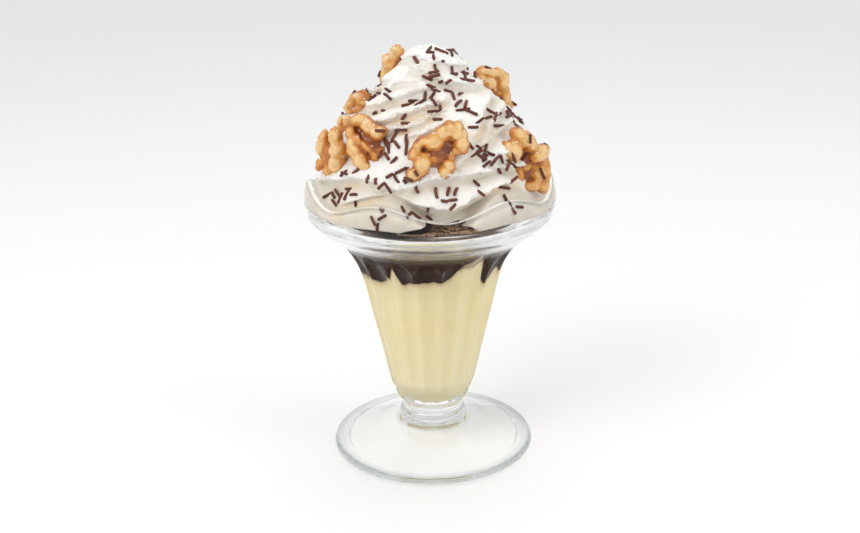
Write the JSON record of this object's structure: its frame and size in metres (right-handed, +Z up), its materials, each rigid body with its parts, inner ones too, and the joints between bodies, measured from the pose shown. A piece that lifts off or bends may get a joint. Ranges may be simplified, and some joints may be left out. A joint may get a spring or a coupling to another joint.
{
  "type": "ice cream sundae",
  "caption": "Footed pressed glass with a wavy lip, filled with vanilla ice cream and chocolate sauce under a swirled mound of whipped cream set with walnut pieces.",
  "frame": {"origin": "centre of the ring that the foot stands on, at table height", "axes": "+Z up along the glass, -Y towards the front of the sundae, +X to the right seen from the front"},
  "size_m": [0.1118, 0.1118, 0.1866],
  "materials": {
    "glass": "clear pressed glass, smooth and shiny",
    "vanilla": "smooth, cold and slightly wet vanilla ice cream",
    "chocolate": "thick glossy dark sauce",
    "whipped_cream": "soft matte whipped cream with fine ragged ridges",
    "walnut": "amber walnut kernel with a thin syrup shine"
  },
  "bodies": {
    "root": {"glass": "glass", "ice_cream": "vanilla", "chocolate_sauce": "chocolate", "whipped_cream": "whipped_cream", "walnut_front": "walnut", "walnut_right": "walnut", "walnut_upper_left": "walnut", "walnut_left": "walnut", "walnut_left_small": "walnut", "walnut_left_chip": "walnut", "walnut_crown_left": "walnut", "walnut_crown_right": "walnut", "walnut_back": "walnut", "walnut_back_left": "walnut"}
  },
  "joints": []
}
